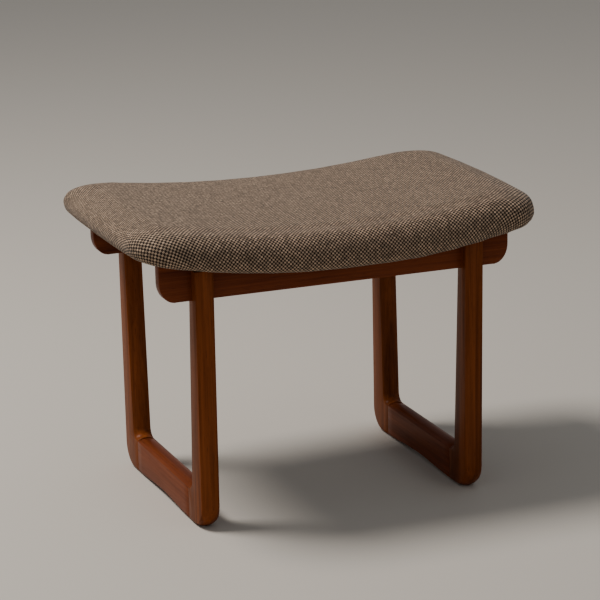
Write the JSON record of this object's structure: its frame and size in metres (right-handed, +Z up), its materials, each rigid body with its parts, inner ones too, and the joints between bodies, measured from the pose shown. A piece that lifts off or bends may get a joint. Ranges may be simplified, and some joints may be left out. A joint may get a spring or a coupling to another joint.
{
  "type": "upholstered saddle stool",
  "caption": "Low bench stool with a concave upholstered tweed seat on wooden sled leg frames joined by long aprons.",
  "frame": {"origin": "on the floor, below the middle of the stool", "axes": "+X along the length of the seat, +Y from front to rear, +Z up"},
  "size_m": [0.59, 0.39, 0.4187],
  "materials": {
    "frame_wood": "dark reddish-brown oiled hardwood with a satin sheen, grain along each timber",
    "rail_wood": "the same hardwood, slightly redder, grain running along the rail",
    "dowel_wood": "plain beech dowel",
    "plywood": "bare bent plywood",
    "tweed": "matt basket weave of dark brown and beige yarns",
    "foam": "cream polyurethane foam",
    "lining": "black non-woven dust lining",
    "zinc_steel": "zinc-plated steel"
  },
  "bodies": {
    "root": {"seat_cover": "tweed", "seat_foam": "foam", "seat_board": "plywood", "dust_lining": "lining", "front_apron": "rail_wood", "rear_apron": "rail_wood", "left_floor_rail": "rail_wood", "left_cross_rail": "rail_wood", "right_floor_rail": "rail_wood", "right_cross_rail": "rail_wood", "left_front_leg": "frame_wood", "left_front_floor_dowel_lower": "dowel_wood", "left_front_cross_dowel_lower": "dowel_wood", "left_front_leg_screw_lower": "zinc_steel", "left_front_floor_dowel_upper": "dowel_wood", "left_front_cross_dowel_upper": "dowel_wood", "left_front_leg_screw_upper": "zinc_steel", "left_front_seat_bolt": "zinc_steel", "left_front_seat_insert": "zinc_steel", "left_rear_leg": "frame_wood", "left_rear_floor_dowel_lower": "dowel_wood", "left_rear_cross_dowel_lower": "dowel_wood", "left_rear_leg_screw_lower": "zinc_steel", "left_rear_floor_dowel_upper": "dowel_wood", "left_rear_cross_dowel_upper": "dowel_wood", "left_rear_leg_screw_upper": "zinc_steel", "left_rear_seat_bolt": "zinc_steel", "left_rear_seat_insert": "zinc_steel", "right_front_leg": "frame_wood", "right_front_floor_dowel_lower": "dowel_wood", "right_front_cross_dowel_lower": "dowel_wood", "right_front_leg_screw_lower": "zinc_steel", "right_front_floor_dowel_upper": "dowel_wood", "right_front_cross_dowel_upper": "dowel_wood", "right_front_leg_screw_upper": "zinc_steel", "right_front_seat_bolt": "zinc_steel", "right_front_seat_insert": "zinc_steel", "right_rear_leg": "frame_wood", "right_rear_floor_dowel_lower": "dowel_wood", "right_rear_cross_dowel_lower": "dowel_wood", "right_rear_leg_screw_lower": "zinc_steel", "right_rear_floor_dowel_upper": "dowel_wood", "right_rear_cross_dowel_upper": "dowel_wood", "right_rear_leg_screw_upper": "zinc_steel", "right_rear_seat_bolt": "zinc_steel", "right_rear_seat_insert": "zinc_steel"}
  },
  "joints": []
}
